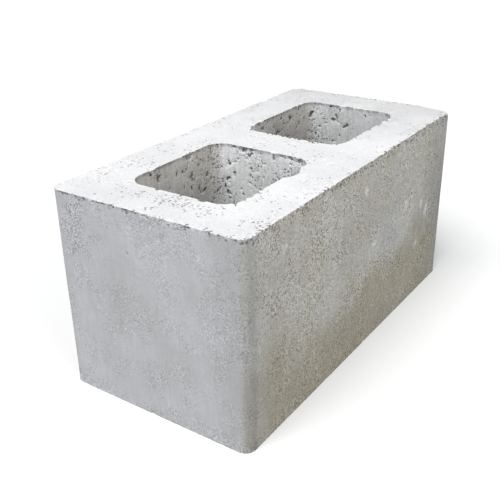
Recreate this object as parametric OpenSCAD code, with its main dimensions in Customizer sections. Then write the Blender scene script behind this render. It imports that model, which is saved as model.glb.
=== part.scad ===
// Hollow concrete block with two cores, cast and vibrated in one piece.
// It stands on its bed face as it is laid: length along X, width along Y,
// cores upright, origin in the middle of the bottom bed face.

/* [Block] */
// Length of the block
block_length = 400; // [300:1:600]
// Width of the block, which is the thickness of the wall it builds
block_width = 200; // [160:1:300]
// Height of the block
block_height = 195; // [90:1:260]
// Radius of the four upright outer corners
corner_radius = 10; // [4:0.5:25]
// Radius of the edges round the top and bottom bed faces
arris_radius = 2; // [0.5:0.25:3.5]

/* [Walls, at the top of the cores] */
// Thickness of each long face shell
face_shell = 45; // [25:1:55]
// Thickness of each end wall
end_wall = 46; // [25:1:60]
// Thickness of the web between the cores
mid_web = 48; // [25:1:60]

/* [Cores] */
// Number of cores in a row along the block
core_count = 2; // [1:1:3]
// Radius of a core's corners at the top
core_corner_radius = 18; // [6:1:40]
// How far each core wall steps back from its top lip to its bottom lip
core_draft = 3; // [0:0.5:5]
// Radius of the edge round each core's mouths
mouth_radius = 1.5; // [0.5:0.25:3]

/* [Hidden] */
$fn = 64;

// How far the core cutters run past the bed faces
cut_past = 5;

core_length = (block_length - 2 * end_wall - (core_count - 1) * mid_web) / core_count;
core_width = block_width - 2 * face_shell;
core_pitch = core_length + mid_web;
first_core_x = -(core_count - 1) * core_pitch / 2;

// Carries a profile right round an upright rectangle. The profile's x is the
// reach outwards from the rectangle and its y is the height, so the corners
// are quarter turns of it and the sides are straight runs of it.
module round_about(length, width) {
    for (turn = [0, 180]) rotate(turn) {
        translate([length / 2, width / 2]) rotate_extrude(angle = 90) children();
        translate([-length / 2, width / 2]) rotate(90) rotate_extrude(angle = 90) children();
        straight_run(length / 2, width) children();
        rotate(90) straight_run(width / 2, length) children();
    }
}

// One straight side of that rectangle, reach units out from the middle.
module straight_run(reach, run) {
    translate([reach, run / 2, 0]) rotate([90, 0, 0]) linear_extrude(run) children();
}

// Half section of the block's outside, with both bed arrises rounded.
module outer_profile() {
    straight = block_height - 2 * arris_radius;
    square([corner_radius - arris_radius, block_height]);
    translate([0, arris_radius]) square([corner_radius, straight]);
    for (z = [arris_radius, block_height - arris_radius])
        translate([corner_radius - arris_radius, z]) circle(arris_radius);
}

// Half section of a core: a drafted wall between two rounded lips, one at each
// mouth. The lips are circles centred in the concrete.
module core_profile() {
    low_wall = core_corner_radius + core_draft;
    low_lip = [low_wall + mouth_radius, mouth_radius];
    high_lip = [core_corner_radius + mouth_radius, block_height - mouth_radius];
    difference() {
        polygon([
            [0, -cut_past],
            [low_lip.x, -cut_past],
            low_lip,
            [low_wall, low_lip.y],
            [core_corner_radius, high_lip.y],
            high_lip,
            [high_lip.x, block_height + cut_past],
            [0, block_height + cut_past]
        ]);
        for (lip = [low_lip, high_lip]) translate(lip) circle(mouth_radius);
    }
}

// The solid that a profile encloses when it is carried round a rectangle.
module upright_solid(length, width, low_z, high_z) {
    translate([-length / 2, -width / 2, low_z]) cube([length, width, high_z - low_z]);
    round_about(length, width) children();
}

module core() {
    inset = 2 * core_corner_radius;
    upright_solid(core_length - inset, core_width - inset, -cut_past, block_height + cut_past)
        core_profile();
}

module block() {
    inset = 2 * corner_radius;
    color("lightgray") difference() {
        upright_solid(block_length - inset, block_width - inset, 0, block_height)
            outer_profile();
        for (i = [0 : core_count - 1])
            translate([first_core_x + i * core_pitch, 0, 0]) core();
    }
}

block();
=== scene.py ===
import math

import bpy
import numpy as np
from mathutils import Matrix, Vector


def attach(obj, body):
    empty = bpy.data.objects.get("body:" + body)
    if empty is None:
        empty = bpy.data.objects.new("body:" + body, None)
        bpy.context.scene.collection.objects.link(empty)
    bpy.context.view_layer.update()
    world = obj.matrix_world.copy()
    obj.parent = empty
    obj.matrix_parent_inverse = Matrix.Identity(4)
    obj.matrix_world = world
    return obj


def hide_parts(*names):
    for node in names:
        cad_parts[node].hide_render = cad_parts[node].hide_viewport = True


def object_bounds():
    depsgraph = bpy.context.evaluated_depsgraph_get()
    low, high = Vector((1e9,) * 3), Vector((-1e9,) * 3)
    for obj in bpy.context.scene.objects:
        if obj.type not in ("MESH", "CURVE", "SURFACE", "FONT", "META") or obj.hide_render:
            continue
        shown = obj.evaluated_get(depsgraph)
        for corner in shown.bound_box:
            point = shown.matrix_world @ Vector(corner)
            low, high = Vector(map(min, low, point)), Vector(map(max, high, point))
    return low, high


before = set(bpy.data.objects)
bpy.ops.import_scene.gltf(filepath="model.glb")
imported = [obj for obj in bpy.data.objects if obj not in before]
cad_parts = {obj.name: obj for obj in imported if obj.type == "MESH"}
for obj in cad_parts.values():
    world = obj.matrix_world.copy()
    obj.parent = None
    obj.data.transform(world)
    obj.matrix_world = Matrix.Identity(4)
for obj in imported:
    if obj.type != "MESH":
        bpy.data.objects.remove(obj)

cadLow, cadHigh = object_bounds()
perMetre = 1000  # trees and values below work in millimetres


# Node helpers, for shader and geometry trees alike

draws = {  # how far each noise is moved off, so that no two run alike
    "drift": 13, "patch": 37, "wander": 91, "rimCluster": 47, "rimHoles": 71, "limeSpots": 53,
    "broken": 41, "chips": 83, "pitClumps": 61, "tears": 17, "torn": 29,
}
moveOff = (1, 2.3, -1.7)


def feed(tree, socket, value):
    if isinstance(value, bpy.types.NodeSocket):
        tree.links.new(value, socket)
    else:
        socket.default_value = value


def addNode(tree, kind, inputs=None, **settings):
    made = tree.nodes.new(kind)
    for name, value in settings.items():
        setattr(made, name, value)
    for key, value in (inputs or {}).items():
        feed(tree, made.inputs[key], value)
    return made


def calc(tree, operation, *values):
    return addNode(tree, "ShaderNodeMath", dict(enumerate(values)), operation=operation).outputs[0]


def product(tree, value, *factors):
    for factor in factors:
        value = calc(tree, "MULTIPLY", value, factor)
    return value


def vectorCalc(tree, operation, *values, scale=None):
    made = addNode(tree, "ShaderNodeVectorMath", dict(enumerate(values)), operation=operation)
    if scale is not None:
        feed(tree, made.inputs["Scale"], scale)
    return made.outputs["Value" if operation == "LENGTH" else "Vector"]


def combine(tree, x=0.0, y=0.0, z=0.0):
    return addNode(tree, "ShaderNodeCombineXYZ", {0: x, 1: y, 2: z}).outputs[0]


def split(tree, vector):
    return addNode(tree, "ShaderNodeSeparateXYZ", {0: vector}).outputs


def ramp(tree, value, low, high, start=0.0, end=1.0):
    inputs = {0: value, 1: low, 2: high, 3: start, 4: end}
    return addNode(tree, "ShaderNodeMapRange", inputs, interpolation_type="SMOOTHSTEP").outputs[0]


def noise(tree, place, size, detail=2.0, roughness=0.5, distortion=0.0, output=0):
    inputs = {"Vector": place, "Scale": 1 / size, "Detail": detail,
              "Roughness": roughness, "Distortion": distortion}
    return addNode(tree, "ShaderNodeTexNoise", inputs).outputs[output]


def sway(tree, place, size, detail=2.0):  # noise in all three directions, about nought
    return vectorCalc(tree, "SUBTRACT", noise(tree, place, size, detail, output=1), (0.5, 0.5, 0.5))


def cells(tree, place, size):
    return addNode(tree, "ShaderNodeTexVoronoi", {"Vector": place, "Scale": 1 / size}).outputs


def shifted(tree, place, offset):
    return vectorCalc(tree, "ADD", place, tuple(offset * part for part in moveOff))


def reachFrom(tree, place, spot):  # 1 at the edge of the spot
    away = vectorCalc(tree, "SUBTRACT", place, spot["middle"])
    return vectorCalc(tree, "LENGTH", vectorCalc(tree, "DIVIDE", away, spot["reach"]))


def mixColour(tree, share, first, second, blend="MIX"):
    inputs = {0: share, 6: first, 7: second}
    return addNode(tree, "ShaderNodeMix", inputs, data_type="RGBA", blend_type=blend).outputs[2]


def newGroup(name, kind, inputs, outputs):
    tree = bpy.data.node_groups.new(name, kind)
    for socket, (kindOf, value) in inputs.items():
        made = tree.interface.new_socket(socket, in_out="INPUT", socket_type=kindOf)
        if value is not None:
            made.default_value = value
    for socket, kindOf in outputs.items():
        tree.interface.new_socket(socket, in_out="OUTPUT", socket_type=kindOf)
    return tree, tree.nodes.new("NodeGroupInput").outputs, tree.nodes.new("NodeGroupOutput").inputs


# The cast form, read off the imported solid

thinnestWall = 15  # points further in than this belong to a core
samePlace = 0.01


def measureCast():
    points = np.array([v.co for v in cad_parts["block"].data.vertices]) * perMetre
    low, high = points.min(0), points.max(0)
    length, width, height = (float(side) for side in high - low)
    onEnd = points[points[:, 0] > high[0] - samePlace]
    outward = np.maximum(np.abs(points[:, 0]) - length / 2, np.abs(points[:, 1]) - width / 2)
    inner = points[(outward < -thinnestWall) & (points[:, 0] > 0)]
    corePlace = float(inner[:, 0].min() + inner[:, 0].max()) / 2
    across = np.abs(inner[:, :2] - (corePlace, 0))
    straight = across.min(0)  # its sides have points only where the corners begin
    reach = np.linalg.norm(np.maximum(across - straight, 0), axis=1)
    topRadius = float(reach[inner[:, 2] > 0.95 * height].min())
    bottomRadius = float(reach[inner[:, 2] < 0.05 * height].min())
    return {
        "Length": length,
        "Width": width,
        "Height": height,
        "Corner radius": width / 2 - float(np.abs(onEnd[:, 1]).max()),
        "Core place": corePlace,
        "Core straight length": float(straight[0]),
        "Core straight width": float(straight[1]),
        "Core radius": topRadius,
        "Core draft": bottomRadius - topRadius,
    }


cast = measureCast()
print("cast form in mm:", {name: round(value, 2) for name, value in cast.items()})


# Shader effects that the concrete finishes share

streakRise = 0.12  # draws the streaks out upright


def buildClouds():
    tree, given, out = newGroup("cementClouds", "ShaderNodeTree", {
        "Place": ("NodeSocketVector", None),
        "Cloud size": ("NodeSocketFloat", 60.0),
        "Blotch size": ("NodeSocketFloat", 15.0),
        "Streak width": ("NodeSocketFloat", 3.0),
    }, {name: "NodeSocketFloat" for name in ("Cloud", "Blotch", "Streak")})
    wide = vectorCalc(tree, "DIVIDE", given["Place"], given["Cloud size"])
    small = vectorCalc(tree, "DIVIDE", given["Place"], given["Blotch size"])
    drawn = vectorCalc(tree, "MULTIPLY", given["Place"], (1, 1, streakRise))
    drawn = vectorCalc(tree, "DIVIDE", drawn, given["Streak width"])
    cloud = noise(tree, wide, 1, detail=4, roughness=0.55, distortion=0.4)
    blotch = noise(tree, small, 1, detail=3, roughness=0.6, distortion=0.3)
    feed(tree, out["Cloud"], ramp(tree, cloud, 0.3, 0.7))  # noise keeps near 0.5, so it is spread
    feed(tree, out["Blotch"], ramp(tree, blotch, 0.32, 0.68))
    feed(tree, out["Streak"], ramp(tree, noise(tree, drawn, 1), 0.25, 0.75))
    return tree


def buildSand():
    tree, given, out = newGroup("sandGrain", "ShaderNodeTree", {
        "Place": ("NodeSocketVector", None),
        "Grain size": ("NodeSocketFloat", 1.5),
    }, {name: "NodeSocketFloat" for name in ("Shade", "Gap", "Fleck", "Height")})
    place = vectorCalc(tree, "DIVIDE", given["Place"], given["Grain size"])
    grain = cells(tree, place, 1)
    draw = split(tree, grain["Color"])
    fine = ramp(tree, noise(tree, place, 0.6, detail=1), 0.25, 0.75)
    shade = calc(tree, "MULTIPLY_ADD", draw[0], 0.65, calc(tree, "MULTIPLY", fine, 0.35))
    feed(tree, out["Shade"], shade)
    feed(tree, out["Gap"], ramp(tree, grain["Distance"], 0.6, 0.9))
    feed(tree, out["Fleck"], draw[1])
    dome = calc(tree, "SUBTRACT", 1.0, grain["Distance"])
    stand = calc(tree, "MULTIPLY_ADD", draw[0], 0.6, 0.4)  # pale grains stand highest
    feed(tree, out["Height"], calc(tree, "MULTIPLY", dome, stand))
    return tree


def buildPinholes():
    tree, given, out = newGroup("pinHoles", "ShaderNodeTree", {
        "Place": ("NodeSocketVector", None),
        "Spacing": ("NodeSocketFloat", 4.0),
        "Hole size": ("NodeSocketFloat", 0.9),
        "Share": ("NodeSocketFloat", 0.3),
    }, {"Hole": "NodeSocketFloat"})
    place = vectorCalc(tree, "DIVIDE", given["Place"], given["Spacing"])
    ragged = vectorCalc(tree, "MULTIPLY_ADD", sway(tree, place, 0.3), (0.5, 0.5, 0.5), place)
    cell = cells(tree, ragged, 1)
    draw = split(tree, cell["Color"])
    there = calc(tree, "LESS_THAN", draw[0], given["Share"])
    radius = calc(tree, "MULTIPLY", given["Hole size"], calc(tree, "MULTIPLY_ADD", draw[1], 0.9, 0.4))
    away = calc(tree, "MULTIPLY", cell["Distance"], given["Spacing"])
    depth = calc(tree, "SUBTRACT", 1.0, calc(tree, "DIVIDE", away, radius))
    feed(tree, out["Hole"], calc(tree, "MULTIPLY", there, ramp(tree, depth, 0.0, 0.5)))
    return tree


def buildEdges():
    tree, given, out = newGroup("nearEdges", "ShaderNodeTree", {
        "Place": ("NodeSocketVector", None),
        "Reach": ("NodeSocketFloat", 20.0),
    }, {"Edge": "NodeSocketFloat", "Bed": "NodeSocketFloat"})
    x, y, z = split(tree, given["Place"])
    ends = calc(tree, "SUBTRACT", cast["Length"] / 2, calc(tree, "ABSOLUTE", x))
    longs = calc(tree, "SUBTRACT", cast["Width"] / 2, calc(tree, "ABSOLUTE", y))
    beds = calc(tree, "MINIMUM", z, calc(tree, "SUBTRACT", cast["Height"], z))
    away = calc(tree, "MAXIMUM", calc(tree, "MINIMUM", ends, longs), beds)
    feed(tree, out["Edge"], ramp(tree, away, given["Reach"], 0))
    feed(tree, out["Bed"], ramp(tree, beds, given["Reach"], 0))
    return tree


effects = {
    "clouds": buildClouds(),
    "sand": buildSand(),
    "pinholes": buildPinholes(),
    "edges": buildEdges(),
}


def useEffect(tree, name, inputs):
    made = addNode(tree, "ShaderNodeGroup", node_tree=effects[name])
    for key, value in inputs.items():
        feed(tree, made.inputs[key], value)
    return made.outputs


# The three concrete finishes: mould faces, pressed bed faces and core walls

top = cast["Height"]
endX = cast["Length"] / 2
longY = cast["Width"] / 2
coreY = cast["Core straight width"] + cast["Core radius"]
anywhere = 2000    # a reach that leaves nothing out
topBedOnly = 150   # a reach that leaves the bottom bed out
oneFaceOnly = 30   # a reach that keeps to one long face

finishes = {  # sizes in mm, shades and shares from 0 up, spots as places on the block
    "mouldFace": {
        "pale": (0.545, 0.552, 0.578, 1), "dark": (0.465, 0.467, 0.478, 1), "fade": 1.0,
        "cloudSize": 62, "blotchSize": 13, "blotchShade": 0.45,
        # the next line also sets painted light on the upper long faces and painted shade inside the
        # core mouths
        "streakShade": 0.06, "streakLong": 0.04, "paintedTopLight": 0.06, "lipPaintedShade": 0.0,
        "sideways": (longY - 8.5, longY - 1.2),  # where an end turns into a long face
        "stain": (0.92, 0.885, 0.765, 1), "weathered": True,
        "sandyLeast": 0.1, "sandyPatch": 0.4, "sandyEdge": 0.3, "sandyLong": 0.45, "edgeReach": 16,
        "sandySpots": [
            {"middle": (-endX, 80, 165), "reach": (60, 26, 34), "share": 0.8},
            {"middle": (-endX, -72, 110), "reach": (60, 20, 85), "share": 0.5},
        ],
        "grainSize": 1.1, "grainShade": 1.2, "gapShade": 0.6, "grainHeight": 0.4, "fleckShare": 0.09,
        "pinSpacing": 3.2, "pinSize": 0.9, "pinShare": 0.5, "pinEdge": 0.3, "pinScatter": 0.4,
        "pinCrowds": [{"middle": (0, 0, top), "reach": (anywhere, anywhere, 130), "share": 1.3}],
        "rimNear": 1.6, "rimFar": 1.6, "rimLong": 6.0, "hollow": (0.35, 1.6),
    },
    "bedFace": {
        "pale": (0.81, 0.808, 0.812, 1), "dark": (0.71, 0.71, 0.717, 1), "fade": 0.83,
        "cloudSize": 70, "blotchSize": 9, "blotchShade": 0.4,
        "streakShade": 0.0, "streakLong": 0.0, "paintedTopLight": 0.0, "lipPaintedShade": 0.0,
        "sideways": (0, 1),
        "stain": None, "weathered": False,
        "sandyLeast": 0.3, "sandyPatch": 0.6, "sandyEdge": 0.2, "sandyLong": 0.0, "edgeReach": 18,
        "sandySpots": [{"middle": (-168, -8, top), "reach": (30, 54, topBedOnly), "share": 0.65}],
        "grainSize": 1.4, "grainShade": 0.35, "gapShade": 0.2, "grainHeight": 0.12, "fleckShare": 0.0,
        "pinSpacing": 2.6, "pinSize": 1.1, "pinShare": 0.8, "pinEdge": 0.1, "pinScatter": 0.2,
        "pinCrowds": [
            {"middle": (-168, -8, top), "reach": (24, 46, topBedOnly), "share": 3.2},
            {"middle": (-195, -92, top), "reach": (40, 22, topBedOnly), "share": 2.4},
            {"middle": (-95, 72, top), "reach": (70, 24, topBedOnly), "share": 0.45},
        ],
        "rimNear": 0.5, "rimFar": 0.05, "rimLong": 0.0, "hollow": (0.6, 2.4),
    },
    "coreWall": {
        # partly painted light: paler than the mould faces, making up for the lesser light inside the
        # cores
        "pale": (0.76, 0.767, 0.78, 1), "dark": (0.66, 0.664, 0.67, 1), "fade": 0.8,
        "cloudSize": 55, "blotchSize": 12, "blotchShade": 0.4,
        "streakShade": 0.15, "streakLong": 0.0, "paintedTopLight": 0.0, "lipPaintedShade": 0.5,
        "sideways": (coreY - 12, coreY - 1),  # where a wall across turns into one along
        "stain": (0.73, 0.705, 0.645, 1), "weathered": False,
        "sandyLeast": 0.35, "sandyPatch": 0.5, "sandyEdge": 0.0, "sandyLong": 0.0, "edgeReach": 6,
        "sandySpots": [],
        "grainSize": 1.3, "grainShade": 0.85, "gapShade": 0.55, "grainHeight": 0.4, "fleckShare": 0.0,
        "pinSpacing": 3.4, "pinSize": 1.25, "pinShare": 0.8, "pinEdge": 0.0, "pinScatter": 1.0,
        "pinCrowds": [],
        "rimNear": 0.0, "rimFar": 0.0, "rimLong": 0.0, "hollow": (0.5, 2.0),
    },
}
tones = {
    "foot": (0.79, 0.76, 0.68, 1),    # multiplies the foot of the long faces
    "bandDarkening": (0.81, 0.81, 0.80, 1),    # multiplies the darker bands
    "fleck": (0.70, 0.67, 0.53, 1),   # odd grains of yellow sand
    "lime": (0.80, 0.80, 0.78, 1),    # spots and smudges
    "hole": (0.13, 0.125, 0.115, 1),  # painted shade, with dirt in the hollows: what the eye sees down a small hole
}
faceMarks = {  # for every finish: sizes in mm, and the limits of ramps
    "driftSize": 12, "driftSpread": 6.0,           # how the borders between faces wander
    "patchSize": 30, "patchLimits": (0.44, 0.58),  # sandy patches
    "spotLimits": (0.9, 0.2), "spotRagged": -0.5,
    "pinSandy": (0.35, 0.95), "crowdLimits": (1.2, 0.3),
    "rimReach": 5.0, "rimSpacing": 3.1, "rimSize": 2.1,  # larger holes right at the arrises
    "rimCluster": 14, "rimClusters": (0.42, 0.6, 0.15, 1.0),
    "rimRise": (60, 150), "rimAcross": (80, -30),
    "cornerSand": (0.2, 1.6, 0.2, 1.0), "cornerRim": (0.3, 1.3, 0.4, 1.0),
    "cornerFleck": (0.6, 1.8, 0, 0.6),
    "fadeLimits": (40, 215), "fadeWander": 40.0,   # beds and cores grey off towards the far end
    # where the painted top light rises on the long faces, and which blotches take the painted lip shade
    "paintedLightRise": (130, 185), "lipBlotch": (0, 0.5, 0.5, 1.0),
    # the first shade below is painted shade in small holes, the last is dirt and painted shade in
    # hollows
    "pinPaintedShade": 0.8, "pinDepth": 0.8, "hollowDirtAndShade": 0.75,
    "roughness": (0.2, 0.8, 0.82, 0.96), "specular": 0.25,
    "bump": 0.5, "bumpLeast": 0.3, "bumpSandy": 0.7,
}
nearCorner = {"middle": (-endX, -longY, 0), "reach": (30, 42, anywhere)}  # smoother than the rest
weather = {  # stains on the long faces and core walls, the rest on the mould faces alone
    "wanderSize": 60, "wanderLimits": (0.3, 0.6, 0.6, 1),
    "washed": {"middle": (85, -longY, 98), "reach": (92, oneFaceOnly, 52)},  # least stained
    "washedLimits": (0.3, 1.3, 0.65, 1.0),
    "endLimits": (endX - 25, endX + 15, 1.0, 0.55), "endWander": 40.0,  # stains fade at both ends
    "footLimits": (50, -8), "footWander": -110.0,
    # darker round the near corner and at the far end of the front long face
    "darkerBandLimits": (1.35, 0.45), "darkerBandWander": 0.6,
    "darkerBands": [
        {**nearCorner, "share": 0.55},
        {"middle": (-endX + 5, -longY, 0), "reach": (13, 13, anywhere), "share": 0.9},
        {"middle": (endX, -longY, 60), "reach": (85, 42, 400), "share": 1.0},
        {"middle": (endX, -longY, 95), "reach": (70, 42, 85), "share": 0.75},
    ],
    "limeSpacing": 34.0, "limeSize": 5.0, "limeShare": 0.3, "limeShade": 0.3,
    "smudgeLimits": (1.1, 0.3, 0.0, 0.55), "smudgeRagged": 0.5,
    "smudges": [
        {"middle": (-4, -longY, 168), "reach": (5, oneFaceOnly, 7)},
        {"middle": (93, -longY, 122), "reach": (8, oneFaceOnly, 13)},
        {"middle": (134, -longY, 107), "reach": (7, oneFaceOnly, 12)},
        {"middle": (148, -longY, 98), "reach": (9, oneFaceOnly, 15)},
        {"middle": (128, -longY, 62), "reach": (9, oneFaceOnly, 10)},
    ],
}


def surveyFace(tree, look):  # what the other steps need to know of a place on the face
    place = addNode(tree, "ShaderNodeTexCoord").outputs["Object"]
    place = vectorCalc(tree, "SCALE", place, scale=perMetre)
    x, y, z = split(tree, place)
    drift = noise(tree, shifted(tree, place, draws["drift"]), faceMarks["driftSize"], detail=3)
    border = calc(tree, "MULTIPLY_ADD", calc(tree, "SUBTRACT", drift, 0.5),
                  faceMarks["driftSpread"], calc(tree, "ABSOLUTE", y))
    sideways = ramp(tree, border, *look["sideways"])
    patch = shifted(tree, place, draws["patch"])
    patch = noise(tree, patch, faceMarks["patchSize"], detail=4, roughness=0.6)
    rimReach = calc(tree, "MULTIPLY_ADD", sideways, look["rimLong"], faceMarks["rimReach"])
    return {
        "place": place, "x": x, "y": y, "z": z, "drift": drift, "sideways": sideways,
        "patch": ramp(tree, patch, *faceMarks["patchLimits"]),
        "corner": reachFrom(tree, place, nearCorner),
        "clouds": useEffect(tree, "clouds", {
            "Place": place, "Cloud size": look["cloudSize"], "Blotch size": look["blotchSize"]}),
        "sand": useEffect(tree, "sand", {"Place": place, "Grain size": look["grainSize"]}),
        "near": useEffect(tree, "edges", {"Place": place, "Reach": look["edgeReach"]}),
        "rim": useEffect(tree, "edges", {"Place": place, "Reach": rimReach}),
    }


def spreadSand(tree, at, look):  # how open the sand lies
    sandy = calc(tree, "MULTIPLY_ADD", at["patch"], look["sandyPatch"], look["sandyLeast"])
    sandy = calc(tree, "MULTIPLY_ADD", at["near"]["Edge"], look["sandyEdge"], sandy)
    rough = calc(tree, "MULTIPLY", at["sideways"], ramp(tree, at["corner"], *faceMarks["cornerSand"]))
    sandy = calc(tree, "MINIMUM", calc(tree, "MULTIPLY_ADD", rough, look["sandyLong"], sandy), 1.0)
    for spot in look["sandySpots"]:
        away = reachFrom(tree, at["place"], spot)
        away = calc(tree, "MULTIPLY_ADD", at["patch"], faceMarks["spotRagged"], away)
        here = ramp(tree, away, *faceMarks["spotLimits"], 0.0, spot["share"])
        sandy = calc(tree, "MAXIMUM", sandy, here)
    return sandy


def pickHoles(tree, at, look, sandy):
    crowd = look["pinScatter"]
    for spot in look["pinCrowds"]:
        away = reachFrom(tree, at["place"], spot)
        here = ramp(tree, away, *faceMarks["crowdLimits"], look["pinScatter"], spot["share"])
        crowd = calc(tree, "MAXIMUM", crowd, here)
    share = calc(tree, "MULTIPLY", crowd, look["pinShare"])
    share = calc(tree, "MULTIPLY", ramp(tree, sandy, *faceMarks["pinSandy"]), share)
    pins = useEffect(tree, "pinholes", {
        "Place": at["place"], "Spacing": look["pinSpacing"], "Hole size": look["pinSize"],
        "Share": calc(tree, "MULTIPLY_ADD", at["near"]["Edge"], look["pinEdge"], share)})["Hole"]
    if not look["rimNear"]:
        return pins
    cluster = noise(tree, shifted(tree, at["place"], draws["rimCluster"]), faceMarks["rimCluster"])
    share = product(tree, at["rim"]["Edge"], ramp(tree, at["z"], *faceMarks["rimRise"]),
                    ramp(tree, cluster, *faceMarks["rimClusters"]),
                    ramp(tree, at["corner"], *faceMarks["cornerRim"]),
                    ramp(tree, at["y"], *faceMarks["rimAcross"], look["rimFar"], look["rimNear"]))
    rimHoles = useEffect(tree, "pinholes", {
        "Place": shifted(tree, at["place"], draws["rimHoles"]),
        "Spacing": faceMarks["rimSpacing"], "Hole size": faceMarks["rimSize"], "Share": share})["Hole"]
    return calc(tree, "MAXIMUM", pins, rimHoles)


def cementColour(tree, at, look):
    colour = mixColour(tree, at["clouds"]["Cloud"], look["dark"], look["pale"])
    blotch = calc(tree, "MULTIPLY", at["clouds"]["Blotch"], look["blotchShade"])
    colour = mixColour(tree, blotch, colour, look["dark"])
    if look["fade"] < 1:
        along = calc(tree, "MULTIPLY_ADD", at["patch"], faceMarks["fadeWander"], at["x"])
        fade = ramp(tree, along, *faceMarks["fadeLimits"], 1.0, look["fade"])
        colour = vectorCalc(tree, "SCALE", colour, scale=fade)
    return colour


def stainColour(tree, at, look, colour):
    wander = shifted(tree, at["place"], draws["wander"])
    wander = noise(tree, wander, weather["wanderSize"], detail=4, roughness=0.6)
    ends = calc(tree, "MULTIPLY_ADD", wander, weather["endWander"], calc(tree, "ABSOLUTE", at["x"]))
    ends = ramp(tree, ends, *weather["endLimits"])
    washed = ramp(tree, reachFrom(tree, at["place"], weather["washed"]), *weather["washedLimits"])
    stain = product(tree, washed, ramp(tree, wander, *weather["wanderLimits"]), ends, at["sideways"])
    colour = mixColour(tree, stain, colour, look["stain"], blend="MULTIPLY")
    if look["weathered"]:
        foot = calc(tree, "MULTIPLY_ADD", wander, weather["footWander"], at["z"])
        foot = product(tree, ramp(tree, foot, *weather["footLimits"]), ends, at["sideways"])
        colour = mixColour(tree, foot, colour, tones["foot"], blend="MULTIPLY")
    return colour


def darkerBandColour(tree, at, colour):
    for band in weather["darkerBands"]:
        away = reachFrom(tree, at["place"], band)
        away = calc(tree, "MULTIPLY_ADD", at["drift"], weather["darkerBandWander"], away)
        bandDarkening = ramp(tree, away, *weather["darkerBandLimits"], 0.0, band["share"])
        colour = mixColour(tree, bandDarkening, colour, tones["bandDarkening"], blend="MULTIPLY")
    return colour


def limeColour(tree, at, colour):
    lime = useEffect(tree, "pinholes", {
        "Place": shifted(tree, at["place"], draws["limeSpots"]), "Spacing": weather["limeSpacing"],
        "Hole size": weather["limeSize"], "Share": weather["limeShare"]})["Hole"]
    lime = calc(tree, "MULTIPLY", lime, weather["limeShade"])
    for smudge in weather["smudges"]:
        away = reachFrom(tree, at["place"], smudge)
        away = calc(tree, "MULTIPLY_ADD", at["clouds"]["Blotch"], weather["smudgeRagged"], away)
        lime = calc(tree, "MAXIMUM", lime, ramp(tree, away, *weather["smudgeLimits"]))
    return mixColour(tree, lime, colour, tones["lime"])


def grainShade(tree, at, look, sandy):  # what the colour is multiplied by, about 1
    sand, clouds = at["sand"], at["clouds"]
    swing = calc(tree, "MULTIPLY", calc(tree, "SUBTRACT", sand["Shade"], 0.5), look["grainShade"])
    swing = calc(tree, "MULTIPLY_ADD", sand["Gap"], -look["gapShade"], swing)
    swing = calc(tree, "MULTIPLY", swing, sandy)
    streak = calc(tree, "MULTIPLY_ADD", at["sideways"], look["streakLong"], look["streakShade"])
    swing = calc(tree, "MULTIPLY_ADD", calc(tree, "SUBTRACT", clouds["Streak"], 0.5), streak, swing)
    if look["paintedTopLight"]:  # painted light: long faces paler towards the top, as if lit from above
        paintedLight = ramp(tree, at["z"], *faceMarks["paintedLightRise"], 0.0, look["paintedTopLight"])
        swing = calc(tree, "ADD", swing, calc(tree, "MULTIPLY", at["sideways"], paintedLight))
    if look["lipPaintedShade"]:  # painted shade: core walls darken just inside their mouths, as under a lip
        lip = ramp(tree, clouds["Blotch"], *faceMarks["lipBlotch"])
        lip = calc(tree, "MULTIPLY", at["rim"]["Bed"], lip)
        swing = calc(tree, "MULTIPLY_ADD", lip, -look["lipPaintedShade"], swing)
    return calc(tree, "ADD", swing, 1.0)


def fleckColour(tree, at, look, colour):
    fleck = calc(tree, "LESS_THAN", at["sand"]["Fleck"], look["fleckShare"])
    fleck = product(tree, fleck, at["patch"], at["sideways"],
                    ramp(tree, at["corner"], *faceMarks["cornerFleck"]))
    return mixColour(tree, fleck, colour, tones["fleck"])


def makeFinish(name, look):
    material = bpy.data.materials.new(name)
    material.use_nodes = True
    tree = material.node_tree
    at = surveyFace(tree, look)
    sandy = spreadSand(tree, at, look)
    holes = pickHoles(tree, at, look, sandy)

    colour = cementColour(tree, at, look)
    if look["stain"]:
        colour = stainColour(tree, at, look, colour)
    if look["weathered"]:
        colour = limeColour(tree, at, darkerBandColour(tree, at, colour))
    colour = vectorCalc(tree, "SCALE", colour, scale=grainShade(tree, at, look, sandy))
    if look["fleckShare"]:
        colour = fleckColour(tree, at, look, colour)
    # painted shade down the small holes and the larger holes at the arrises
    dark = calc(tree, "MULTIPLY", holes, faceMarks["pinPaintedShade"])
    colour = mixColour(tree, dark, colour, tones["hole"])
    # dirt and painted shade in the hollows below the cast surface
    hollow = addNode(tree, "ShaderNodeAttribute", attribute_name="hollow").outputs["Fac"]
    hollow = ramp(tree, hollow, *look["hollow"], 0, faceMarks["hollowDirtAndShade"])
    colour = mixColour(tree, hollow, colour, tones["hole"])

    stand = calc(tree, "MULTIPLY_ADD", sandy, faceMarks["bumpSandy"], faceMarks["bumpLeast"])
    height = product(tree, at["sand"]["Height"], stand, look["grainHeight"])
    height = calc(tree, "MULTIPLY_ADD", holes, -faceMarks["pinDepth"], height)
    bump = addNode(tree, "ShaderNodeBump", {
        "Height": height, "Distance": 1 / perMetre, "Strength": faceMarks["bump"]})

    shader = tree.nodes["Principled BSDF"]
    shader.inputs["Specular IOR Level"].default_value = faceMarks["specular"]
    feed(tree, shader.inputs["Base Color"], colour)
    feed(tree, shader.inputs["Roughness"], ramp(tree, at["sand"]["Shade"], *faceMarks["roughness"]))
    feed(tree, shader.inputs["Normal"], bump.outputs[0])
    return material


materials = {name: makeFinish(name, look) for name, look in finishes.items()}
print("concrete finishes made:", ", ".join(materials))


# The block's surface: the cast form as a distance field, less pits, crumbled edges and wear

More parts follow.
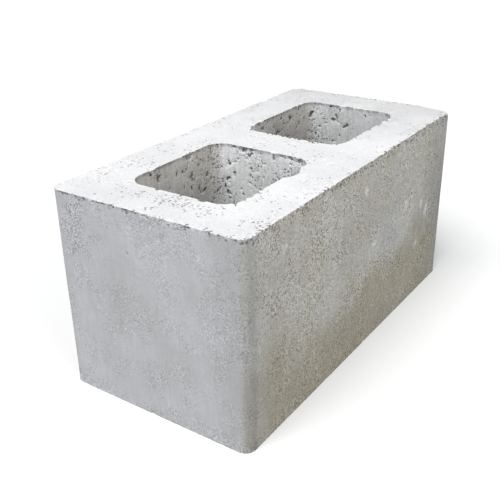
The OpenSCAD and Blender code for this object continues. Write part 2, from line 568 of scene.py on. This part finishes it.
surface = {  # the modifier's inputs, in mm
    "Grid step": 1.2,
    "Wave size": 85.0, "Wave depth": 0.8,
    "Arris": 0.5, "Mouth edge": 0.7,
    "Crumble reach": 4.0, "Crumble depth": 1.7, "Crumble grain": 3.6, "Chip depth": 3.0,
    "Worn corner reach": 45.0, "Worn corner arris": 10.0,
    "Side pits": 0.1, "Bed pits": 0.5, "Core pits": 1.0, "Arris pits": 6.0, "Pit depth": 3.0,
    "Tear width": 0.75, "Tear length": 14.0,
}
relief = {  # how the wear is spread: sizes in mm, and the limits of ramps
    "crispSteps": -1.5, "crispShare": 0.32,  # a grid blunts edges, so they start fuller
    "crumbs": (0.48, 0.68),
    "brokenSize": 34, "broken": (0.48, 0.64, 0.15, 1.0), "brokenLong": 0.08,
    "chipSize": 15, "chips": (0.62, 0.76),
    "lowEdges": (20, 90, 0.15, 1.0),         # edges low down lose less
    "atLong": (-6, -1), "atFace": (-6, -2), "atArris": (-9, -1), "upperArris": (0.5, 0.9),
    "clumpSize": 26, "clumps": (0.4, 0.62, 0.2, 1.6),
    "pitSway": 2.6, "knockSway": 3.2, "swayReach": 3.0, "scoopBlend": 0.5,
    "tornSize": 9, "torn": (0.52, 0.66), "tearStart": 0.3, "tearBlend": 0.4,
}
pitLayers = [  # spacing, least and greatest radius in mm, share of places that hold a pit
    {"spacing": 9.0, "least": 0.9, "greatest": 1.7, "share": 0.12, "seed": 5},
    {"spacing": 5.0, "least": 0.7, "greatest": 1.2, "share": 0.28, "seed": 23},
]
knocks = [  # chips that the photograph shows: middle and reach in mm
    {"middle": (-62, -56, top + 1), "reach": (11, 4, 5)},
    {"middle": (-25, -39, top - 1), "reach": (3, 3.5, 4)},
    {"middle": (-24, -11, top - 5), "reach": (2.5, 1.6, 5)},
    {"middle": (-153, -27, top - 1), "reach": (3, 4, 3.5)},
    {"middle": (-67, 55, top - 3), "reach": (5, 2.5, 4)},
]
wellOff = 9.0       # takes a pit that isn't there out of the field
emptySpace = -10.0  # density away from the block
gridMargin = 3      # grid steps left round the block
triangleLimit = 190_000
sharpAngle = math.radians(38)
sheetGap = 6        # mm between the unwrapped faces


def roundedPlan(tree, x, y, halfLength, halfWidth, radius):
    across = calc(tree, "SUBTRACT", calc(tree, "ABSOLUTE", x), halfLength)
    along = calc(tree, "SUBTRACT", calc(tree, "ABSOLUTE", y), halfWidth)
    outside = vectorCalc(tree, "MAXIMUM", combine(tree, across, along), (0, 0, 0))
    inside = calc(tree, "MINIMUM", calc(tree, "MAXIMUM", across, along), 0)
    away = calc(tree, "ADD", vectorCalc(tree, "LENGTH", outside), inside)
    return calc(tree, "SUBTRACT", away, radius)


def wornArris(tree, given, bent):  # one upper corner is worn rounder than the rest
    corner = combine(tree, calc(tree, "MULTIPLY", given["Length"], 0.5),
                     calc(tree, "MULTIPLY", given["Width"], -0.5), given["Height"])
    away = vectorCalc(tree, "LENGTH", vectorCalc(tree, "SUBTRACT", bent, corner))
    worn = ramp(tree, calc(tree, "DIVIDE", away, given["Worn corner reach"]), 1, 0.1)
    return calc(tree, "MULTIPLY_ADD", worn, given["Worn corner arris"], given["Arris"])


def castField(tree, given, place):  # distances to the cast form, below nought inside the concrete
    wave = sway(tree, vectorCalc(tree, "DIVIDE", place, given["Wave size"]), 1)
    bent = vectorCalc(tree, "ADD", place, vectorCalc(tree, "SCALE", wave, scale=given["Wave depth"]))
    x, y, z = split(tree, bent)
    corner = given["Corner radius"]
    halfLength = calc(tree, "SUBTRACT", calc(tree, "MULTIPLY", given["Length"], 0.5), corner)
    halfWidth = calc(tree, "SUBTRACT", calc(tree, "MULTIPLY", given["Width"], 0.5), corner)
    sides = roundedPlan(tree, x, y, halfLength, halfWidth, corner)

    rise = calc(tree, "DIVIDE", z, given["Height"])
    coreRadius = calc(tree, "MULTIPLY_ADD", calc(tree, "SUBTRACT", 1, rise),
                      given["Core draft"], given["Core radius"])
    coreX = calc(tree, "SUBTRACT", calc(tree, "ABSOLUTE", x), given["Core place"])
    core = roundedPlan(tree, coreX, y, given["Core straight length"],
                       given["Core straight width"], coreRadius)
    walls = calc(tree, "MULTIPLY", core, -1)
    half = calc(tree, "MULTIPLY", given["Height"], 0.5)
    beds = calc(tree, "SUBTRACT", calc(tree, "ABSOLUTE", calc(tree, "SUBTRACT", z, half)), half)

    form = calc(tree, "SMOOTH_MAX", sides, beds, wornArris(tree, given, bent))
    form = calc(tree, "SMOOTH_MAX", form, walls, given["Mouth edge"])
    nearEdge = calc(tree, "ADD", calc(tree, "MAXIMUM", sides, walls), beds)
    crispFrom = calc(tree, "MULTIPLY", given["Grid step"], relief["crispSteps"])
    crisp = ramp(tree, nearEdge, crispFrom, 0, 0, relief["crispShare"])
    form = calc(tree, "SUBTRACT", form, calc(tree, "MULTIPLY", crisp, given["Grid step"]))
    longs = calc(tree, "MULTIPLY_ADD", given["Width"], -0.5, calc(tree, "ABSOLUTE", y))
    return {
        "sides": sides, "walls": walls, "beds": beds, "form": form, "nearEdge": nearEdge,
        "rise": rise, "z": z,
        "longs": ramp(tree, longs, *relief["atLong"]),
        "inCore": ramp(tree, walls, *relief["atFace"]),
        "skin": calc(tree, "ADD", form, given["Pit depth"]),  # pits and tears go no deeper
    }


def lostEdges(tree, given, place, field):  # what crumbled and chipped off round the beds
    nearEdge = calc(tree, "DIVIDE", field["nearEdge"], given["Crumble reach"])
    crumb = vectorCalc(tree, "DIVIDE", place, given["Crumble grain"])
    crumb = ramp(tree, noise(tree, crumb, 1, detail=4, roughness=0.7), *relief["crumbs"])
    broken = noise(tree, shifted(tree, place, draws["broken"]), relief["brokenSize"])
    broken = calc(tree, "MULTIPLY_ADD", field["longs"], relief["brokenLong"], broken)
    crumb = calc(tree, "MULTIPLY", crumb, ramp(tree, broken, *relief["broken"]))
    crumb = product(tree, ramp(tree, nearEdge, -1, 0), crumb, given["Crumble depth"])
    chip = noise(tree, shifted(tree, place, draws["chips"]), relief["chipSize"])
    chip = ramp(tree, chip, *relief["chips"])
    chip = product(tree, ramp(tree, nearEdge, -2, 0), chip, given["Chip depth"])
    kept = ramp(tree, field["z"], *relief["lowEdges"])
    return calc(tree, "MULTIPLY", calc(tree, "ADD", crumb, chip), kept)


def swayed(tree, place, size):
    moved = vectorCalc(tree, "SCALE", sway(tree, place, size, detail=1), scale=relief["swayReach"])
    return vectorCalc(tree, "ADD", place, moved)


def cutPits(tree, given, place, field, solid):
    plenty = calc(tree, "MULTIPLY_ADD", field["inCore"], given["Core pits"], given["Side pits"])
    onBed = ramp(tree, field["beds"], *relief["atFace"])
    plenty = calc(tree, "MULTIPLY_ADD", onBed, given["Bed pits"], plenty)
    arris = ramp(tree, calc(tree, "ADD", field["sides"], field["beds"]), *relief["atArris"])
    arris = product(tree, arris, field["longs"], ramp(tree, field["rise"], *relief["upperArris"]))
    plenty = calc(tree, "MULTIPLY_ADD", arris, given["Arris pits"], plenty)
    clump = noise(tree, shifted(tree, place, draws["pitClumps"]), relief["clumpSize"])
    plenty = calc(tree, "MULTIPLY", plenty, ramp(tree, clump, *relief["clumps"]))
    for layer in pitLayers:
        near = swayed(tree, shifted(tree, place, layer["seed"]), relief["pitSway"])
        pit = cells(tree, near, layer["spacing"])
        draw = split(tree, pit["Color"])
        there = calc(tree, "LESS_THAN", draw[0], calc(tree, "MULTIPLY", plenty, layer["share"]))
        radius = calc(tree, "MULTIPLY_ADD", draw[1], layer["greatest"] - layer["least"], layer["least"])
        scoop = calc(tree, "MULTIPLY_ADD", pit["Distance"], -layer["spacing"], radius)
        scoop = calc(tree, "MULTIPLY_ADD", calc(tree, "SUBTRACT", there, 1), wellOff, scoop)
        scoop = calc(tree, "MINIMUM", scoop, field["skin"])
        solid = calc(tree, "SMOOTH_MAX", solid, scoop, relief["scoopBlend"])
    return solid


def cutKnocks(tree, place, solid):
    near = swayed(tree, place, relief["knockSway"])
    for knock in knocks:
        scoop = calc(tree, "SUBTRACT", 1, reachFrom(tree, near, knock))
        scoop = calc(tree, "MULTIPLY", scoop, min(knock["reach"]))
        solid = calc(tree, "SMOOTH_MAX", solid, scoop, relief["scoopBlend"])
    return solid


def cutTears(tree, given, place, field, solid):  # core walls torn where the mould was drawn out
    sheet = vectorCalc(tree, "DIVIDE", shifted(tree, place, draws["tears"]), given["Tear length"])
    sheet = calc(tree, "ABSOLUTE", calc(tree, "SUBTRACT", noise(tree, sheet, 1, detail=3), 0.5))
    sheet = calc(tree, "MULTIPLY", sheet, given["Tear length"])
    torn = noise(tree, shifted(tree, place, draws["torn"]), relief["tornSize"], detail=1)
    torn = product(tree, ramp(tree, torn, *relief["torn"]), field["inCore"], given["Tear width"])
    tear = calc(tree, "SUBTRACT", calc(tree, "SUBTRACT", torn, sheet), relief["tearStart"])
    tear = calc(tree, "MINIMUM", tear, field["skin"])
    return calc(tree, "SMOOTH_MAX", solid, tear, relief["tearBlend"])


def drawMesh(tree, given, solid):
    step = combine(tree, given["Grid step"], given["Grid step"], given["Grid step"])
    margin = vectorCalc(tree, "SCALE", step, scale=gridMargin)
    span = combine(tree, calc(tree, "MULTIPLY", given["Length"], 0.5),
                   calc(tree, "MULTIPLY", given["Width"], 0.5))
    low = vectorCalc(tree, "SUBTRACT", vectorCalc(tree, "SCALE", span, scale=-1), margin)
    high = vectorCalc(tree, "ADD", span, combine(tree, z=given["Height"]))
    high = vectorCalc(tree, "ADD", high, margin)
    count = split(tree, vectorCalc(tree, "DIVIDE", vectorCalc(tree, "SUBTRACT", high, low), step))
    volume = addNode(tree, "GeometryNodeVolumeCube", {
        "Density": calc(tree, "MULTIPLY", solid, -1), "Background": emptySpace,
        "Min": vectorCalc(tree, "SCALE", low, scale=1 / perMetre),
        "Max": vectorCalc(tree, "SCALE", high, scale=1 / perMetre),
        "Resolution X": count[0], "Resolution Y": count[1], "Resolution Z": count[2]}).outputs[0]
    return addNode(tree, "GeometryNodeVolumeToMesh", {
        "Volume": volume, "Threshold": 0.0}, resolution_mode="GRID").outputs[0]


def keepShell(tree, given, mesh):  # closed pits are shells of their own, and go
    island = addNode(tree, "GeometryNodeInputMeshIsland").outputs["Island Index"]
    outside = addNode(tree, "GeometryNodeSampleNearest", {
        "Geometry": mesh, "Sample Position": combine(tree, given["Length"])}, domain="POINT").outputs[0]
    shell = addNode(tree, "GeometryNodeSampleIndex", {
        "Geometry": mesh, "Value": island, "Index": outside},
        data_type="INT", domain="POINT").outputs[0]
    apart = calc(tree, "ABSOLUTE", calc(tree, "SUBTRACT", island, shell))
    apart = calc(tree, "GREATER_THAN", apart, 0.5)
    return addNode(tree, "GeometryNodeDeleteGeometry", {
        "Geometry": mesh, "Selection": apart}, domain="POINT").outputs[0]


def dressMesh(tree, field, mesh):
    sides, walls, beds = field["sides"], field["walls"], field["beds"]
    onBed = calc(tree, "GREATER_THAN", beds, calc(tree, "MAXIMUM", sides, walls))
    onWall = calc(tree, "GREATER_THAN", walls, calc(tree, "MAXIMUM", sides, beds))
    mesh = addNode(tree, "GeometryNodeStoreNamedAttribute", {
        "Geometry": mesh, "Name": "hollow", "Value": calc(tree, "MULTIPLY", field["form"], -1)},
        data_type="FLOAT", domain="POINT").outputs[0]
    mesh = addNode(tree, "GeometryNodeRealizeInstances", {0: mesh}).outputs[0]
    for finish, chosen in (("mouldFace", True), ("bedFace", onBed), ("coreWall", onWall)):
        mesh = addNode(tree, "GeometryNodeSetMaterial", {
            0: mesh, "Selection": chosen, "Material": materials[finish]}).outputs[0]
    return mesh


def buildSurfaceTree():
    sizes = {**cast, **surface}
    tree, given, out = newGroup("concreteSurface", "GeometryNodeTree",
                                {name: ("NodeSocketFloat", None) for name in sizes},
                                {"Geometry": "NodeSocketGeometry"})
    place = addNode(tree, "GeometryNodeInputPosition").outputs[0]
    place = vectorCalc(tree, "SCALE", place, scale=perMetre)
    field = castField(tree, given, place)
    solid = calc(tree, "ADD", field["form"], lostEdges(tree, given, place, field))
    solid = cutPits(tree, given, place, field, solid)
    solid = cutKnocks(tree, place, solid)
    solid = cutTears(tree, given, place, field, solid)
    mesh = keepShell(tree, given, drawMesh(tree, given, solid))
    feed(tree, out["Geometry"], dressMesh(tree, field, mesh))
    return tree, sizes


def settle(piece):  # modifiers become plain mesh
    seen = piece.evaluated_get(bpy.context.evaluated_depsgraph_get())
    mesh = bpy.data.meshes.new_from_object(seen)
    piece.modifiers.clear()
    old = piece.data
    piece.data = mesh
    mesh.name = piece.name
    bpy.data.meshes.remove(old)


def unwrapFaces(mesh):
    points = np.array([v.co for v in mesh.vertices]) * perMetre
    corners = np.array([loop.vertex_index for loop in mesh.loops])
    finish = np.array([mesh.materials[face.material_index].name for face in mesh.polygons])
    spots = points[corners].reshape(-1, 3, 3)  # triangles only
    middle = spots.mean(axis=1)
    x, y, z = spots[..., 0], spots[..., 1], spots[..., 2]
    bed = finish == "bedFace"
    wall = finish == "coreWall"
    mould = ~bed & ~wall
    atEnd = np.abs(middle[:, 0]) - endX > np.abs(middle[:, 1]) - longY
    column = cast["Length"] + sheetGap
    row = max(cast["Width"], cast["Height"]) + sheetGap
    ring = (4 * (cast["Core straight length"] + cast["Core straight width"])
            + 2 * math.pi * cast["Core radius"])

    sheets = []  # faces, measure across, measure up, left edge, lower edge
    for turn, sign in enumerate((-1, 1)):
        alongX = sign * middle[:, 0] > 0
        alongY = sign * middle[:, 1] > 0
        alongZ = sign * (middle[:, 2] - top / 2) > 0
        sheets.append((bed & alongZ, x + endX, y + longY, turn * column, 0))
        sheets.append((mould & ~atEnd & alongY, x + endX, z, turn * column, row))
        sheets.append((mould & atEnd & alongX, y + longY, z, ring + sheetGap, (2 + turn) * row))
        around = np.arctan2(y, x - sign * cast["Core place"]) / (2 * math.pi) + 0.5
        around -= np.round(around - around[:, :1])  # a triangle keeps to one side of the seam
        sheets.append((wall & alongX, around * ring, z, 0, (2 + turn) * row))

    flat = np.zeros((len(spots), 3, 2))
    for chosen, across, up, left, lower in sheets:
        flat[chosen, :, 0] = across[chosen] + left + sheetGap
        flat[chosen, :, 1] = up[chosen] + lower + sheetGap
    flat /= flat.max() + sheetGap
    mesh.uv_layers.new(name="OFBake").data.foreach_set("uv", flat.ravel())


def makeBlock():
    block = bpy.data.objects.new("concreteBlock", bpy.data.meshes.new("concreteBlock"))
    bpy.context.scene.collection.objects.link(block)
    tree, sizes = buildSurfaceTree()
    modifier = block.modifiers.new("surface", "NODES")
    modifier.node_group = tree
    for socket in tree.interface.items_tree:
        if socket.in_out == "INPUT":
            modifier[socket.identifier] = sizes[socket.name]
    settle(block)
    print("surface drawn:", len(block.data.polygons), "faces")

    triangles = sum(len(face.vertices) - 2 for face in block.data.polygons)
    thin = block.modifiers.new("thin", "DECIMATE")
    thin.ratio = min(1.0, triangleLimit / triangles)
    thin.use_collapse_triangulate = True
    settle(block)
    block.data.shade_smooth()
    block.data.set_sharp_from_angle(angle=sharpAngle)
    unwrapFaces(block.data)
    print("thinned to", len(block.data.polygons), "triangles")
    return block


block = makeBlock()
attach(block, "root")
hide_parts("block")


# Plain studio: pale floor, soft overhead lamp, even surround

studio = {  # metres, and degrees for the key lamp's spread
    "floorSize": 12.0, "floorColour": 0.30, "floorSeen": 0.92, "floorRoughness": 0.9,
    "surround": (0.97, 0.985, 1.0, 1), "surroundStrength": 0.4,
    "keyFrom": (-0.57, 0.04, 0.81), "keyDistance": 3, "keySpread": 50.0, "keyStrength": 2.74,
    "fillPlace": (-0.6, -2.1, 0.9), "fillSize": 1.6, "fillPower": 22.0,
}
middleOfBlock = (cadLow + cadHigh) / 2


def addLamp(name, kind, place, **settings):
    lamp = bpy.data.lights.new(name, kind)
    for key, value in settings.items():
        setattr(lamp, key, value)
    lampObject = bpy.data.objects.new(name, lamp)
    bpy.context.scene.collection.objects.link(lampObject)
    lampObject.location = place
    lampObject.rotation_euler = (middleOfBlock - place).to_track_quat("-Z", "Y").to_euler()


def seenDirectly(tree):
    path = addNode(tree, "ShaderNodeLightPath").outputs
    through = calc(tree, "MAXIMUM", path["Is Glossy Ray"], path["Is Transmission Ray"])
    return calc(tree, "MAXIMUM", path["Is Camera Ray"], through)


def makeFloor():
    mesh = bpy.data.meshes.new("floor")
    reach = studio["floorSize"] / 2
    mesh.from_pydata([(-reach, -reach, 0), (reach, -reach, 0), (reach, reach, 0), (-reach, reach, 0)],
                     [], [(0, 1, 2, 3)])
    floor = bpy.data.objects.new("floor", mesh)
    bpy.context.scene.collection.objects.link(floor)
    paint = bpy.data.materials.new("floorPaint")
    paint.use_nodes = True
    tree = paint.node_tree
    shader = tree.nodes["Principled BSDF"]
    shader.inputs["Roughness"].default_value = studio["floorRoughness"]
    shader.inputs["Specular IOR Level"].default_value = 0.0
    tone = ramp(tree, seenDirectly(tree), 0, 1, studio["floorColour"], studio["floorSeen"])
    feed(tree, shader.inputs["Base Color"], tone)
    mesh.materials.append(paint)


def makeSurround():
    world = bpy.data.worlds.new("surround")
    bpy.context.scene.world = world
    world.use_nodes = True
    tree = world.node_tree
    light = tree.nodes["Background"]
    light.inputs["Color"].default_value = studio["surround"]
    light.inputs["Strength"].default_value = studio["surroundStrength"]
    backdrop = addNode(tree, "ShaderNodeBackground", {"Color": (1, 1, 1, 1), "Strength": 1.0})
    mixed = addNode(tree, "ShaderNodeMixShader",
                    {0: seenDirectly(tree), 1: light.outputs[0], 2: backdrop.outputs[0]})
    feed(tree, tree.nodes["World Output"].inputs["Surface"], mixed.outputs[0])


makeFloor()
makeSurround()
addLamp("keyLamp", "SUN", middleOfBlock + studio["keyDistance"] * Vector(studio["keyFrom"]),
        energy=studio["keyStrength"], angle=math.radians(studio["keySpread"]))
addLamp("fillLamp", "AREA", Vector(studio["fillPlace"]),
        energy=studio["fillPower"], shape="DISK", size=studio["fillSize"])


# Camera where the photograph was taken from

viewpoint = {
    "place": (-0.5950, -0.3783, 0.4236),  # metres
    "heading": 34.705, "pitch": 25.93, "roll": 1.01,  # degrees: from +X, below level, clockwise
    "lens": 54.41, "sensor": 36.0,
}


def makeCamera():
    data = bpy.data.cameras.new("photoCamera")
    data.lens = viewpoint["lens"]
    data.sensor_width = viewpoint["sensor"]
    camera = bpy.data.objects.new("photoCamera", data)
    bpy.context.scene.collection.objects.link(camera)
    camera.matrix_world = (Matrix.Translation(viewpoint["place"])
                           @ Matrix.Rotation(math.radians(viewpoint["heading"] - 90), 4, "Z")
                           @ Matrix.Rotation(math.radians(90 - viewpoint["pitch"]), 4, "X")
                           @ Matrix.Rotation(math.radians(-viewpoint["roll"]), 4, "Z"))
    bpy.context.scene.camera = camera


makeCamera()
bpy.context.scene.view_settings.view_transform = "Standard"
print("studio and camera set")
